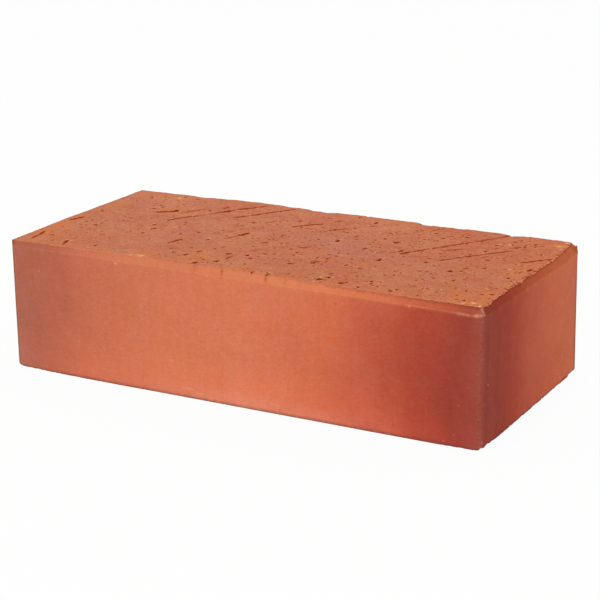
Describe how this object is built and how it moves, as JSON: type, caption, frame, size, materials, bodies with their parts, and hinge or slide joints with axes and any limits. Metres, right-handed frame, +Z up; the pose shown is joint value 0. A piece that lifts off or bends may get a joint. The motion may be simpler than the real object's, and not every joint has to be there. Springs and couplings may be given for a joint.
{
  "type": "clay brick",
  "caption": "Solid fired-clay building brick with smooth sides, rough wire-cut beds, round upright corners and a pressed bevel round the upper bed.",
  "frame": {"origin": "middle of the lower bed, the face that the brick lies on", "axes": "+X along the brick's length towards one header, +Y across its width towards one stretcher, +Z up from the lower bed to the upper bed"},
  "size_m": [0.25, 0.12, 0.065],
  "materials": {
    "fired_clay": "matt fired red clay, die-smooth on the four sides and torn by the cutting wire on the beds"
  },
  "bodies": {
    "root": {"brick": "fired_clay"}
  },
  "joints": []
}
